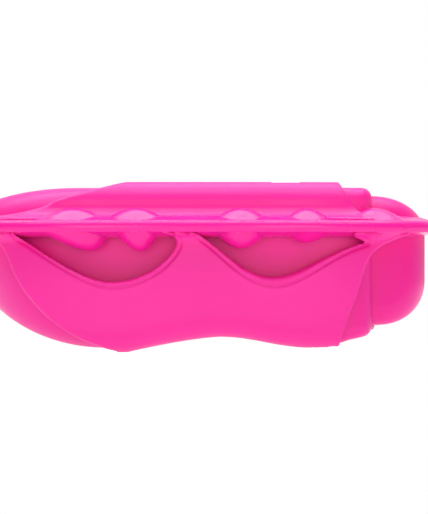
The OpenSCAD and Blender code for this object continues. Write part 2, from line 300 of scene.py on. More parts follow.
def upright_hole(x, y, centre_x, radius):
    """A round upright hole."""
    return np.hypot(x - centre_x, y) - radius


def mouth_column(x, y, z, length, depth):
    """The upright oval column in which the cup's foot is open."""
    return np.maximum(oval(x - MOUTH_X, y, length, length, depth, MOUTH_POWER, MOUTH_POWER), z - MOUTH_TOP)


def inner_cup_field(x, y, z, sizes):
    """The hollow inner cup, with its mouth below and holes in its roof for the diaphragm and the valve."""
    body = cup_body(x, y, z)
    cavity = merge(body + sizes.cup_wall / MM, mouth_column(x, y, z, 30.6, 16.8), 2.0)
    hollow = keep_both(body, -cavity, 0.9)
    roof = np.maximum(upright_hole(x, y, PAD_X, 12.4), RIM_Z - z)
    bush = np.maximum(upright_hole(x, y, VALVE_X, 3.4), RIM_Z - z)
    return np.maximum(hollow, -np.minimum(roof, bush))


def lower_shell_field(x, y, z):
    """The body shell under the web. It is open below, where the inner cup's mouth comes through."""
    inside = np.minimum(cup_body(x, y, z) + 0.4, mouth_column(x, y, z, 33.4, 19.6))
    return np.maximum(keep_both(shell_body(x, y, z), -inside, 0.6), z - WEB_UNDER - 0.6)


def upper_shell_field(x, y, z):
    """The body shell over the web, with holes for the thumb pad and the valve."""
    solid = np.maximum(np.maximum(shell_body(x, y, z), -cup_body(x, y, z) - 0.4), WEB_TOP - 0.6 - z)
    holes = np.minimum(upright_hole(x, y, PAD_X, PAD_R + 0.7), upright_hole(x, y, VALVE_X, VALVE_HOLE))
    seat = np.maximum(upright_hole(x, y, PAD_X, 14.1), z - CUP_ROOF - 0.8)
    return np.maximum(solid, -np.minimum(holes, seat))


def grip_face(x, y, depth):
    """The plan oval that a saddle's and the cover's faces follow."""
    return oval(x, y, 58, 58, depth, OVAL_POWER, OVAL_POWER)


def flared(climb, flare):
    """How far a foot's quarter-round flare stands out, at a climb into it."""
    climb = np.clip(climb, 0, flare)
    return flare - np.sqrt(np.maximum(flare ** 2 - climb ** 2, 0))


def lip_width(x, wide, centre, spread):
    """Width of a pocket's lip: widest at the pocket's lowest place and finer up its slopes."""
    fine = 0.55
    return fine + (wide - fine) * np.exp(-((x - centre) / spread) ** 2)


def saddle_field(x, y, z, sizes):
    """The front saddle: a thick grip panel with a wavy hem and two finger pockets."""
    front = np.where(y < 0, -y, 0)
    flare = sizes.web_fillet / MM
    draft = 1.6 * ramp(-z, -27, 1)
    face = grip_face(x, front, GRIP_DEPTH - 0.4) - flared(z - (WEB_UNDER - 0.4 - flare), flare) + draft
    body = keep_both(face, (hem(x) - z) * 0.985, sizes.hem_round / MM)
    # The side edges are crisp, and softer low on the nose side.
    softness = 0.2 + 0.5 * ramp(-x, 12, 30) * ramp(-z, -20, -10)
    body = keep_both(body, from_outline(x, z, SADDLE_OUTLINE), softness)
    body = np.maximum(body, z - WEB_UNDER - 0.6)
    nose = from_outline(x, z, NOSE_POCKET)
    tail = from_outline(x, z, TAIL_POCKET)
    pockets = np.minimum(nose, tail)
    lip = np.minimum(
        nose - lip_width(x, sizes.nose_lip / MM, -15, 15),
        tail - lip_width(x, sizes.tail_lip / MM, 22, 13))
    groove = np.hypot(lip, face + 0.02) - 0.48
    body = keep_both(body, -groove, 0.2)
    body = keep_both(body, -pockets, np.clip(0.9 * (pockets - lip), 0.45, 1.9))
    # The back stands 0.5 mm off the shell and the cup, and is upright below the mouth's top.
    level = np.maximum(z, MOUTH_TOP)
    back = np.minimum(shell_body(x, y, level), cup_body(x, y, level)) + 0.5
    return np.maximum(np.maximum(body, -back), y - 2)


def cover_field(x, y, z, sizes):
    """The top cover: a crowned cap whose foot flares out over the web, with slots for the nodules."""
    side = np.abs(y)
    flare = sizes.cover_flare / MM
    face = grip_face(x, side, GRIP_DEPTH - 4.4) - 1.28 * flared(33.2 + flare - z, flare)
    body = keep_both(face, z - COVER_Z, sizes.crown_round / MM)
    body = keep_both(body, from_outline(x, z, COVER_OUTLINE), 0.55)
    body = np.maximum(body, WEB_TOP - 0.4 - z)
    slots = np.minimum(from_outline(x, z, UPPER_NOSE_POCKET), from_outline(x, z, UPPER_TAIL_POCKET))
    slots = np.maximum(slots, 32.6 - side)
    scoop = np.maximum(np.abs(x - VALVE_X) - 3.5, COVER_Z - 0.35 - z)
    cuts = (
        (slots, 0.25),
        (upright_hole(x, y, PAD_X, PAD_R + sizes.pad_gap / MM), 0.35),
        (upright_hole(x, y, VALVE_X, VALVE_HOLE), 0.3),
        (scoop, 0.12),
    )
    for cut, rounding in cuts:
        body = keep_both(body, -cut, rounding)
    inside = np.minimum(shell_body(x, y, z), cup_body(x, y, z)) + 0.5
    return np.maximum(body, -inside)


SHELL_OUTLINE = shell_outline()
CUP_OUTLINE = cup_outline()
SADDLE_OUTLINE = saddle_outline()
COVER_OUTLINE = cover_outline()
NOSE_POCKET = nose_pocket()
TAIL_POCKET = tail_pocket()
UPPER_NOSE_POCKET = upper_nose_pocket()
UPPER_TAIL_POCKET = upper_tail_pocket()


# ---------------------------------------------------------------- meshes

CORNERS = np.array([(i, j, k) for i in (0, 1) for j in (0, 1) for k in (0, 1)])
EDGES = [(a, b) for a in range(8) for b in range(a + 1, 8) if np.abs(CORNERS[a] - CORNERS[b]).sum() == 1]


def net(field, low, high, step):
    """Points and quads of a net drawn over a field's surface, one point in each cell that the surface crosses."""
    axes = [np.arange(a, b + step, step) for a, b in zip(low, high)]
    x, y, z = axes[0][:, None, None], axes[1][None, :, None], axes[2][None, None, :]
    value = np.broadcast_to(field(x, y, z), [len(a) for a in axes]).astype(float)
    inside = value < 0
    cells = [n - 1 for n in value.shape]
    count = sum(
        inside[i:i + cells[0], j:j + cells[1], k:k + cells[2]].astype(int) for i, j, k in CORNERS
    )
    where = np.argwhere((count > 0) & (count < 8))
    number = np.full(cells, -1)
    number[tuple(where.T)] = np.arange(len(where))
    at_corner = np.stack([value[tuple((where + c).T)] for c in CORNERS], axis=1)
    total = np.zeros((len(where), 3))
    hits = np.zeros(len(where))
    for a, b in EDGES:
        crossed = (at_corner[:, a] < 0) != (at_corner[:, b] < 0)
        t = at_corner[:, a] / np.where(crossed, at_corner[:, a] - at_corner[:, b], 1)
        total += np.where(crossed[:, None], CORNERS[a] + t[:, None] * (CORNERS[b] - CORNERS[a]), 0)
        hits += crossed
    points = np.array(low) + (where + total / hits[:, None]) * step
    quads = []
    for axis in range(3):
        one, two = (axis + 1) % 3, (axis + 2) % 3
        ahead = np.roll(inside, -1, axis=axis)
        changed = inside != ahead
        spans = [slice(1, -1)] * 3
        spans[axis] = slice(0, -1)
        inner = np.zeros_like(changed)
        inner[tuple(spans)] = changed[tuple(spans)]
        at = np.argwhere(inner)
        corner = []
        for back_one, back_two in ((1, 1), (0, 1), (0, 0), (1, 0)):
            cell = at.copy()
            cell[:, one] -= back_one
            cell[:, two] -= back_two
            corner.append(number[tuple(cell.T)])
        quad = np.stack(corner, axis=1)
        outward = inside[tuple(at.T)]
        quads.append(np.where(outward[:, None], quad, quad[:, ::-1]))
    return points, np.vstack(quads)


def eased(points, quads, share):
    """Each point moved a share of the way to the middle of its neighbours."""
    total = np.zeros_like(points)
    count = np.zeros(len(points))
    for side in range(4):
        a, b = quads[:, side], quads[:, (side + 1) % 4]
        np.add.at(total, a, points[b])
        np.add.at(total, b, points[a])
        np.add.at(count, a, 1)
        np.add.at(count, b, 1)
    return points + share * (total / np.maximum(count, 1)[:, None] - points)


def drawn_tight(points, field, step):
    """Points moved along the field's slope until they lie on the surface."""
    for _ in range(2):
        here = field(*points.T)
        slope = np.stack([(field(*(points + nudge).T) - here) / 0.02 for nudge in np.eye(3) * 0.02], axis=1)
        size = np.maximum((slope ** 2).sum(1), 0.09)
        move = -(here / size)[:, None] * slope
        limit = np.maximum(np.linalg.norm(move, axis=1) / (0.5 * step), 1)
        points = points + move / limit[:, None]
    return points


def object_from(name, points, faces):
    """A smooth-shaded object from points in millimetres."""
    mesh = bpy.data.meshes.new(name)
    mesh.from_pydata((np.asarray(points) * MM).tolist(), [], [list(map(int, f)) for f in faces])
    mesh.validate()
    mesh.polygons.foreach_set("use_smooth", [True] * len(mesh.polygons))
    piece = bpy.data.objects.new(name, mesh)
    bpy.context.collection.objects.link(piece)
    return piece


def moulded(name, field, low, high, step, mirrored=False):
    """A moulded skin: the surface of a field inside a box."""
    points, quads = net(field, low, high, step)
    points = eased(points, quads, 0.5)
    points = drawn_tight(points, field, step)
    if mirrored:
        points = points * (1, -1, 1)
        quads = quads[:, ::-1]
    return object_from(name, points, quads)


def softened(profile, radius):
    """A turned piece's profile with its corners rounded."""
    out = []
    for i, (r, z) in enumerate(profile):
        here = np.array((r, z), float)
        if i in (0, len(profile) - 1) or r == 0:
            out.append(here)
            continue
        before = np.array(profile[i - 1], float) - here
        after = np.array(profile[i + 1], float) - here
        size = min(radius, 0.45 * np.linalg.norm(before), 0.45 * np.linalg.norm(after))
        start = here + size * before / np.linalg.norm(before)
        end = here + size * after / np.linalg.norm(after)
        for t in np.linspace(0, 1, 5):
            out.append((1 - t) ** 2 * start + 2 * (1 - t) * t * here + t ** 2 * end)
    return out


def turned(name, centre_x, profile, steps=72):
    """A piece turned round an upright axis. Its profile runs from the bottom, round the outside, to the top."""
    closed = profile[0][0] > 0
    rings = []
    points = []
    for r, z in profile:
        if r < 1e-6:
            rings.append([len(points)] * steps)
            points.append((centre_x, 0, z))
            continue
        rings.append(list(range(len(points), len(points) + steps)))
        for i in range(steps):
            angle = 2 * math.pi * i / steps
            points.append((centre_x + r * math.cos(angle), r * math.sin(angle), z))
    pairs = list(zip(rings, rings[1:])) + ([(rings[-1], rings[0])] if closed else [])
    faces = []
    for low, high in pairs:
        for i in range(steps):
            j = (i + 1) % steps
            face = [low[i], low[j], high[j], high[i]]
            faces.append([v for n, v in enumerate(face) if v not in face[:n]])
    return object_from(name, points, faces)


def ring_band(name, sections, steps=240):
    """A closed band round the cup: each section is how far inside the rim's edge it lies, and its height."""
    angles = np.linspace(0, 2 * np.pi, steps, endpoint=False)
    points = []
    for inset, z in sections:
        c = np.cos(angles)
        x = (RIM_REACH - inset) * c
        half = np.clip(1 - np.abs(c) ** OVAL_POWER, 0, None) ** (1 / OVAL_POWER)
        y = (RIM_DEPTH - inset) * np.sign(np.sin(angles)) * half
        points += np.column_stack([x, y, np.full(steps, z)]).tolist()
    faces = []
    for a in range(len(sections)):
        b = (a + 1) % len(sections)
        for i in range(steps):
            j = (i + 1) % steps
            faces.append([a * steps + i, a * steps + j, b * steps + j, b * steps + i])
    return object_from(name, points, faces)


# ---------------------------------------------------------------- node trees

def add(tree, kind, inputs=None, **settings):
    """A node with its settings. An input is given a value, or a socket to link from."""
    node = tree.nodes.new(kind)
    for name, value in settings.items():
        setattr(node, name, value)
    for key, value in (inputs or {}).items():
        if isinstance(value, bpy.types.NodeSocket):
            tree.links.new(value, node.inputs[key])
        else:
            node.inputs[key].default_value = value
    return node


def calc(tree, operation, *values, kind="ShaderNodeMath"):
    """The result of a maths node. Each value is a number, a vector or a socket."""
    return add(tree, kind, dict(enumerate(values)), operation=operation).outputs[0]


def ranged(tree, value, start, end):
    """A value mapped from the range start to the range end."""
    return add(tree, "ShaderNodeMapRange", {
        "Value": value, "From Min": start[0], "From Max": start[1], "To Min": end[0], "To Max": end[1]}).outputs[0]


def emptied(block):
    """The node tree of a new material or world, with nothing in it."""
    block.use_nodes = True
    block.node_tree.nodes.clear()
    return block.node_tree


def new_tree(name, inputs):
    """A geometry tree with named inputs, each with its default. None stands for a material."""
    kinds = {int: "NodeSocketInt", float: "NodeSocketFloat", type(None): "NodeSocketMaterial"}
    tree = bpy.data.node_groups.new(name, "GeometryNodeTree")
    tree.interface.new_socket(name="Geometry", in_out="INPUT", socket_type="NodeSocketGeometry")
    for label, value in inputs.items():
        socket = tree.interface.new_socket(name=label, in_out="INPUT", socket_type=kinds[type(value)])
        if value is not None:
            socket.default_value = value
    tree.interface.new_socket(name="Geometry", in_out="OUTPUT", socket_type="NodeSocketGeometry")
    return tree


def finish_tree(tree, geometry, material):
    """Real faces with the piece's material, sent to the tree's output."""
    real = add(tree, "GeometryNodeRealizeInstances", {0: geometry})
    smooth = add(tree, "GeometryNodeSetShadeSmooth", {0: real.outputs[0]})
    painted = add(tree, "GeometryNodeSetMaterial", {"Geometry": smooth.outputs[0], "Material": material})
    add(tree, "NodeGroupOutput", {0: painted.outputs[0]})


def grown(name, tree, values, points=((0, 0, 0),), edges=()):
    """An object whose plain mesh is what a tree makes from its values and a mesh of edges."""
    mesh = bpy.data.meshes.new(name)
    mesh.from_pydata([[c * MM for c in p] for p in points], list(edges), [])
    piece = bpy.data.objects.new(name, mesh)
    bpy.context.collection.objects.link(piece)
    modifier = piece.modifiers.new("Grow", "NODES")
    modifier.node_group = tree
    for item in tree.interface.items_tree:
        if item.in_out == "INPUT" and item.name in values:
            modifier[item.identifier] = values[item.name]
    bpy.context.view_layer.update()
    graph = bpy.context.evaluated_depsgraph_get()
    made = bpy.data.meshes.new_from_object(piece.evaluated_get(graph))
    piece.modifiers.remove(modifier)
    piece.data = made
    return piece


def loop_of(count):
    """Edges that join points in a closed loop."""
    return [(i, (i + 1) % count) for i in range(count)]


def oval_hoop_tree():
    """Sweeps a section round a superellipse. The section is the object's own edges, in X and Y."""
    tree = new_tree("Oval Hoop", {
        "Reach": 0.06, "Depth": 0.037, "Height": 0.03, "Power": 2.6, "Steps": 320, "Material": None})
    given = add(tree, "NodeGroupInput").outputs
    circle = add(tree, "GeometryNodeMeshCircle", {"Vertices": given["Steps"], "Radius": 1.0})
    place = add(tree, "GeometryNodeInputPosition")
    axes = add(tree, "ShaderNodeSeparateXYZ", {0: place.outputs[0]}).outputs
    raised = calc(tree, "POWER", calc(tree, "ABSOLUTE", axes["X"]), given["Power"])
    rest = calc(tree, "MAXIMUM", calc(tree, "SUBTRACT", 1.0, raised), 0.0)
    half = calc(tree, "POWER", rest, calc(tree, "DIVIDE", 1.0, given["Power"]))
    signed = calc(tree, "MULTIPLY", half, calc(tree, "SIGN", axes["Y"]))
    point = add(tree, "ShaderNodeCombineXYZ", {
        0: calc(tree, "MULTIPLY", axes["X"], given["Reach"]),
        1: calc(tree, "MULTIPLY", signed, given["Depth"]),
        2: given["Height"]})
    moved = add(tree, "GeometryNodeSetPosition", {"Geometry": circle.outputs[0], "Position": point.outputs[0]})
    path = add(tree, "GeometryNodeMeshToCurve", {0: moved.outputs[0]})
    upright = add(tree, "GeometryNodeSetCurveNormal", {0: path.outputs[0]})
    section = add(tree, "GeometryNodeMeshToCurve", {0: given["Geometry"]})
    swept = add(tree, "GeometryNodeCurveToMesh", {0: upright.outputs[0], 1: section.outputs[0]})
    outward = add(tree, "GeometryNodeFlipFaces", {0: swept.outputs[0]})
    finish_tree(tree, outward.outputs[0], given["Material"])
    return tree


def wire_tree():
    """Draws a round bead or wire along the object's own edges."""
    tree = new_tree("Round Wire", {"Radius": 0.001, "Sides": 20, "Material": None})
    given = add(tree, "NodeGroupInput").outputs
    path = add(tree, "GeometryNodeMeshToCurve", {0: given["Geometry"]})
    upright = add(tree, "GeometryNodeSetCurveNormal", {0: path.outputs[0]})
    circle = add(tree, "GeometryNodeCurvePrimitiveCircle", {"Resolution": given["Sides"], "Radius": given["Radius"]})
    swept = add(tree, "GeometryNodeCurveToMesh", {
        0: upright.outputs[0], 1: circle.outputs[0], "Fill Caps": True})
    finish_tree(tree, swept.outputs[0], given["Material"])
    return tree


def nodule_tree():
    """One soft nodule: a bell-shaped bump above the web and a fuller drop below it, joined at the waist."""
    tree = new_tree("Nodule", {
        "Centre X": 0.0, "Centre Y": 0.0, "Centre Z": 0.0, "Crown Width": 0.009, "Drop Width": 0.006, "Depth": 0.005,
        "Waist": 0.001, "Rise": 0.004, "Drop": 0.005, "Lean": 0.0, "Fullness": 1.0, "Material": None,
    })
    given = add(tree, "NodeGroupInput").outputs
    vectors = "ShaderNodeVectorMath"
    ball = add(tree, "GeometryNodeMeshUVSphere", {"Segments": 72, "Rings": 64, "Radius": 1.0})
    place = add(tree, "GeometryNodeInputPosition").outputs[0]
    axes = add(tree, "ShaderNodeSeparateXYZ", {0: place}).outputs
    # Each point's way out from the nodule's axis: 0 at a pole and 1 at the waist.
    height = calc(tree, "MINIMUM", calc(tree, "ABSOLUTE", axes["Z"]), 1.0)
    out = calc(tree, "DIVIDE", calc(tree, "ARCCOSINE", height), math.pi / 2)
    way = calc(tree, "NORMALIZE", calc(tree, "MULTIPLY", place, (1.0, 1.0, 0.0), kind=vectors), kind=vectors)
    spread = add(tree, vectors, {0: way, "Scale": out}, operation="SCALE")
    above = calc(tree, "GREATER_THAN", axes["Z"], 0.0)
    width = add(tree, "ShaderNodeMix", {"Factor": above, "A": given["Drop Width"], "B": given["Crown Width"]})
    scale = add(tree, "ShaderNodeCombineXYZ", {0: width.outputs[0], 1: given["Depth"], 2: 0.0})
    foot = calc(tree, "MULTIPLY", spread.outputs[0], scale.outputs[0], kind=vectors)
    # The bell falls from 1 on the axis to 0 at the waist.
    wave = calc(tree, "COSINE", calc(tree, "MULTIPLY", out, math.pi))
    bell = calc(tree, "MULTIPLY_ADD", wave, 0.5, 0.5)
    full = calc(tree, "POWER", bell, given["Fullness"])
    up = calc(tree, "MULTIPLY_ADD", calc(tree, "POWER", bell, 0.7), given["Rise"], given["Waist"])
    down = calc(tree, "MULTIPLY_ADD", full, given["Drop"], given["Waist"])
    level = add(tree, "ShaderNodeMix", {"Factor": above, "A": calc(tree, "MULTIPLY", down, -1.0), "B": up})
    # Only the drop leans.
    slant = calc(tree, "MULTIPLY", full, given["Lean"])
    shift = calc(tree, "MULTIPLY", slant, calc(tree, "SUBTRACT", 1.0, above))
    raised = add(tree, "ShaderNodeCombineXYZ", {0: shift, 1: 0.0, 2: level.outputs[0]})
    centre = add(tree, "ShaderNodeCombineXYZ", {0: given["Centre X"], 1: given["Centre Y"], 2: given["Centre Z"]})
    shape = calc(tree, "ADD", foot, raised.outputs[0], kind=vectors)
    final = calc(tree, "ADD", shape, centre.outputs[0], kind=vectors)
    moved = add(tree, "GeometryNodeSetPosition", {"Geometry": ball.outputs[0], "Position": final})
    finish_tree(tree, moved.outputs[0], given["Material"])
    return tree


# ---------------------------------------------------------------- materials

def colour(code):
    """A hex sRGB colour as linear red, green, blue and alpha."""
    channels = [int(code[i:i + 2], 16) / 255 for i in (1, 3, 5)]
    return [c / 12.92 if c <= 0.04045 else ((c + 0.055) / 1.055) ** 2.4 for c in channels] + [1.0]


def silicone(name, tint, deep, roughness, look):
    """Liquid silicone rubber, injection moulded in a satin-blasted tool.

    The blasting leaves a very fine dimple that spreads highlights, and the rubber lets a little
    light through its skin, so its shadows stay warm and saturated."""
    material = bpy.data.materials.new(name)
    tree = emptied(material)
    where = add(tree, "ShaderNodeTexCoord")
    # Pigment clouds about 14 mm across: barely darker and lighter patches in the mix.
    cloud = add(tree, "ShaderNodeTexNoise", {"Vector": where.outputs["Object"], "Scale": 1 / 0.014, "Detail": 2.0})
    blend = add(tree, "ShaderNodeMix", {
        "Factor": cloud.outputs["Fac"], 6: colour(tint), 7: colour(deep)}, data_type="RGBA")
    gloss = ranged(tree, cloud.outputs["Fac"], (0.3, 0.7), (roughness - 0.03, roughness + 0.03))
    # The tool's blasted grain is 0.05 mm, and is drawn at 0.4 mm so that it can show.
    grain = add(tree, "ShaderNodeTexNoise", {"Vector": where.outputs["Object"], "Scale": 1 / 0.0004, "Detail": 3.0})
    dimples = add(tree, "ShaderNodeBump", {
        "Height": grain.outputs["Fac"], "Strength": look.grain, "Distance": 0.00002})
    surface = add(tree, "ShaderNodeBsdfPrincipled", {
        "Base Color": blend.outputs[2], "Roughness": gloss, "Normal": dimples.outputs[0],
        "IOR": 1.41, "Subsurface Weight": look.glow, "Subsurface Radius": (1.0, 0.2, 0.5),
        "Subsurface Scale": 0.0015, "Sheen Weight": look.bloom, "Sheen Roughness": 0.35})
    add(tree, "ShaderNodeOutputMaterial", {0: surface.outputs[0]})
    return material


def spring_steel(name):
    """Drawn stainless wire and pin: bright, with fine draw lines along it."""
    material = bpy.data.materials.new(name)
    tree = emptied(material)
    where = add(tree, "ShaderNodeTexCoord")
    stretched = add(tree, "ShaderNodeMapping", {"Vector": where.outputs["Object"], "Scale": (1.0, 1.0, 0.1)})
    lines = add(tree, "ShaderNodeTexNoise", {"Vector": stretched.outputs[0], "Scale": 1 / 0.0003, "Detail": 2.0})
    gloss = ranged(tree, lines.outputs["Fac"], (0, 1), (0.2, 0.36))
    surface = add(tree, "ShaderNodeBsdfPrincipled", {
        "Base Color": colour("#C9CBCE"), "Metallic": 1.0, "Roughness": gloss})
    add(tree, "ShaderNodeOutputMaterial", {0: surface.outputs[0]})
    return material


FINISHES = {
    "silicone_body": "moulded_silicone_body",
    "silicone_rim": "moulded_silicone_rim_painted_shade",
    "silicone_inner": "moulded_silicone_inner_painted_shade",
    "valve_steel": "drawn_spring_steel",
}


def finish_of(slot):
    """A slot's finish, made the first time that a piece asks for it."""
    look = bpy.context.scene.cup_look
    name = FINISHES[slot]
    if name in bpy.data.materials:
        return bpy.data.materials[name]
    if slot == "silicone_body":
        return silicone(name, look.body_tint, look.body_deep, look.satin, look)
    if slot == "silicone_rim":
        # The rim's edge is rubbed a little smoother than the body. Its tint is deeper than the body's: painted shade on
        # the rim and the nodules.
        return silicone(name, look.rim_shade_tint, look.body_deep, look.satin - 0.14, look)
    if slot == "silicone_inner":
        # The inner cup's tints are deeper than the body's: painted shade for the cup's sides.
        return silicone(name, look.inner_shade_tint, look.inner_shade_deep, look.satin, look)
    return spring_steel(name)


def dress(piece, slot, *nodes, body="cup"):
    """Gives a piece its finish, its body and the CAD nodes that it stands for."""
    piece.data.materials.clear()
    piece.data.materials.append(finish_of(slot))
    piece.data.set_sharp_from_angle(angle=math.radians(50))
    if body:
        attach(piece, body)
    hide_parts(*nodes)
    return piece


# ---------------------------------------------------------------- sizes and colours

class CupSizes(bpy.types.PropertyGroup):
    """Sizes that a maker of the mould would change."""

    cup_wall: FloatProperty(name="Cup wall", description="Wall of the inner cup", default=0.0025, unit="LENGTH")
    hem_round: FloatProperty(name="Hem round", description="Rounding of the saddles' hem", default=0.0062, unit="LENGTH")
    crown_round: FloatProperty(
        name="Crown round", description="Rounding along the top cover's edge", default=0.0053, unit="LENGTH")
    cover_flare: FloatProperty(
        name="Cover flare", description="Height of the flare at the cover's foot", default=0.0036, unit="LENGTH")
    web_fillet: FloatProperty(
        name="Web fillet", description="Fillet between a saddle and the web", default=0.0022, unit="LENGTH")
    nose_lip: FloatProperty(
        name="Nose pocket lip", description="Widest part of the nose pocket's lip", default=0.0013, unit="LENGTH")
    tail_lip: FloatProperty(
        name="Tail pocket lip", description="Widest part of the tail pocket's lip", default=0.0022, unit="LENGTH")
    pad_gap: FloatProperty(name="Pad gap", description="Groove round the thumb pad", default=0.0006, unit="LENGTH")
    web_rise: FloatProperty(
        name="Web rise", description="How much the web's faces rise towards the body", default=0.0016, unit="LENGTH")
    bead: FloatProperty(name="Mouth bead", description="Radius of the mouth's sealing bead", default=0.001, unit="LENGTH")


class CupLook(bpy.types.PropertyGroup):
    """Colours and finish of the silicone, and the studio."""

    body_tint: StringProperty(name="Body tint", description="Lighter body colour, as sRGB hex", default="#EC2099")
    body_deep: StringProperty(name="Body deep", description="Deeper body colour, as sRGB hex", default="#E61993")
    # The rim tint is deeper than the body's: painted shade for the rim's dark band and the nodules.
    rim_shade_tint: StringProperty(name="Rim tint", description="Rim and nodule colour, as sRGB hex", default="#EA1A96")
    # The inner cup's tints are deeper than the body's: painted shade for the cup's sides.
    inner_shade_tint: StringProperty(name="Inner tint", description="Inner cup colour, as sRGB hex", default="#EA1592")
    inner_shade_deep: StringProperty(name="Inner deep", description="Inner cup's deeper colour, as sRGB hex", default="#E20C8C")
    satin: FloatProperty(name="Satin", description="Roughness of the moulded skin", default=0.4, min=0.1, max=0.9)
    glow: FloatProperty(
        name="Glow", description="Share of the light that passes through the skin",
        default=0.3, min=0, max=1, subtype="FACTOR")
    bloom: FloatProperty(
        name="Bloom", description="Pale bloom that powders the skin at its edges",
        default=0.02, min=0, max=1, subtype="FACTOR")
    grain: FloatProperty(
        name="Grain", description="Strength of the blasted grain", default=0.12, min=0, max=1, subtype="FACTOR")
    floor_glow: FloatProperty(
        name="Floor glow", description="Strength of the opal light table under the cup", default=0.85, min=0, max=4)
    floor_colour: FloatVectorProperty(
        name="Floor", description="Colour of the studio floor",
        default=(0.35, 0.35, 0.35), subtype="COLOR", min=0, max=1)


# ---------------------------------------------------------------- operators

class Step:
    """What the building steps share: each makes its pieces from the scene's sizes."""

    def execute(self, context):
        self.build(context.scene.cup_sizes)
        return {"FINISHED"}


class CUP_OT_inner_cup(Step, bpy.types.Operator):
    """Mould the hollow inner cup"""

    bl_idname = "cup.inner_cup"
    bl_label = "Inner Cup"

    def build(self, sizes):
        piece = moulded(
            "inner_cup_skin", lambda x, y, z: inner_cup_field(x, y, z, sizes),
            (-CUP_NOSE - SPARE, -CUP_DEPTH - SPARE, CUP_FOOT - SPARE),
            (CUP_TAIL + SPARE, CUP_DEPTH + SPARE, CUP_ROOF + SPARE), 0.7)
        dress(piece, "silicone_inner", "inner_cup")


class CUP_OT_body_shells(Step, bpy.types.Operator):
    """Mould the body shell's two halves"""

    bl_idname = "cup.body_shells"
    bl_label = "Body Shells"

    def build(self, sizes):
        halves = (
            ("lower", lower_shell_field, -0.5, WEB_UNDER + SPARE, 0.6),
            ("upper", upper_shell_field, WEB_TOP - SPARE, SHELL_ROOF + SPARE, 0.5),
        )
        for half, field, low, high, step in halves:
            piece = moulded(
                f"{half}_shell_skin", field, (-SHELL_NOSE - SPARE, -SHELL_DEPTH - SPARE, low),
                (SHELL_TAIL + SPARE, SHELL_DEPTH + SPARE, high), step)
            dress(piece, "silicone_body", f"body_shell_{half}")


class CUP_OT_saddles(Step, bpy.types.Operator):
    """Mould the front saddle and its mirror image at the rear"""

    bl_idname = "cup.saddles"
    bl_label = "Grip Saddles"

    def build(self, sizes):
        for side in ("front", "rear"):
            piece = moulded(
                f"{side}_saddle_skin", lambda x, y, z: saddle_field(x, y, z, sizes),
                (-54, -GRIP_DEPTH - 4, -1.2), (56, -1, WEB_UNDER + SPARE), 0.42, mirrored=side == "rear")
            dress(piece, "silicone_body", f"{side}_saddle")


class CUP_OT_cover(Step, bpy.types.Operator):
    """Mould the top cover"""

    bl_idname = "cup.cover"
    bl_label = "Top Cover"

    def build(self, sizes):
        piece = moulded(
            "top_cover_skin", lambda x, y, z: cover_field(x, y, z, sizes),
            (-58, -GRIP_DEPTH - 3, WEB_TOP - SPARE), (54, GRIP_DEPTH + 3, COVER_Z + 1.2), 0.5)
        dress(piece, "silicone_body", "top_cover")


class CUP_OT_rim(Step, bpy.types.Operator):
    """Sweep the hoop round the rim and fill it with the web"""

    bl_idname = "cup.rim"
    bl_label = "Rim"

    def build(self, sizes):
        half = HOOP_HALF
        out = 1.75
        section = [
            (-1.45, half - 0.3), (-1.2, half - 0.02), (1.42, half), (1.5, half - 0.05), (1.54, half - 0.14),
            (1.62, half - 0.3), (1.7, half - 0.6), (1.74, half - 1.0), (out, 0.2), (1.71, -0.2), (1.58, -0.62),
            (1.32, -1.02), (0.9, -1.34), (0.4, -half + 0.03), (-0.1, -half), (-1.2, -half + 0.02), (-1.45, -half + 0.3),
        ]
        hoop = grown(
            "rim_hoop_skin", oval_hoop_tree(), {
                "Reach": (RIM_REACH - out) * MM, "Depth": (RIM_DEPTH - out) * MM, "Height": RIM_Z * MM,
                "Power": OVAL_POWER, "Steps": 360, "Material": finish_of("silicone_rim")},
            [(x, y, 0) for x, y in section], loop_of(len(section)))
        dress(hoop, "silicone_rim", "rim_hoop")
        # The web rises over its outer 6.5 mm and is level from there to its inner edge.
        rise = sizes.web_rise / MM
        start = HOOP_WIDTH - 0.35
        body = HOOP_WIDTH + 22
        slope = [(start + 6.5 * t, half - 0.3 + rise * math.sin(math.pi * t / 2)) for t in np.linspace(0, 1, 9)]
        top = [(inset, RIM_Z + h) for inset, h in slope]
        under = [(inset, RIM_Z - h) for inset, h in slope]
        sections = under + [(body, under[-1][1]), (body, top[-1][1])] + top[::-1]
        dress(ring_band("rim_web_skin", sections[::-1]), "silicone_rim", "rim_web")


# Each nodule's crown and drop half widths, the drop's lean, and the drop's fullness (lower is fuller).
NODULE_SHAPES = (
    (11.7, 8.8, 3.9, 0.5), (10.1, 6.5, 1.0, 0.6), (9.1, 8.0, 0.2, 0.65), (7.9, 7.6, 0, 0.7), (9.2, 9.0, 0, 0.75),
)
NODULE_DEPTH = 5.6
NODULE_WAIST = 1.1


class CUP_OT_nodules(Step, bpy.types.Operator):
    """Grow the soft nodules that pass through the web"""

    bl_idname = "cup.nodules"
    bl_label = "Nodules"

    def build(self, sizes):
        tree = nodule_tree()
        for side in ("front", "rear"):
            for number, (crown, drop, lean, fullness) in enumerate(NODULE_SHAPES, 1):
                node = f"nodule_{side}_{number}"
                lengths = {
                    "Centre X": (reach(node, 0, 0) + reach(node, 1, 0)) / 2,
                    "Centre Y": (reach(node, 0, 1) + reach(node, 1, 1)) / 2,
                    "Centre Z": RIM_Z,
                    "Crown Width": crown, "Drop Width": drop, "Depth": NODULE_DEPTH, "Waist": NODULE_WAIST,
                    "Rise": reach(node, 1, 2) - RIM_Z - NODULE_WAIST,
                    "Drop": RIM_Z - reach(node, 0, 2) - NODULE_WAIST,
                    "Lean": lean,
                }
                values = {label: length * MM for label, length in lengths.items()}
                values.update({"Fullness": fullness, "Material": finish_of("silicone_rim")})
                dress(grown(f"{node}_skin", tree, values), "silicone_rim", node)


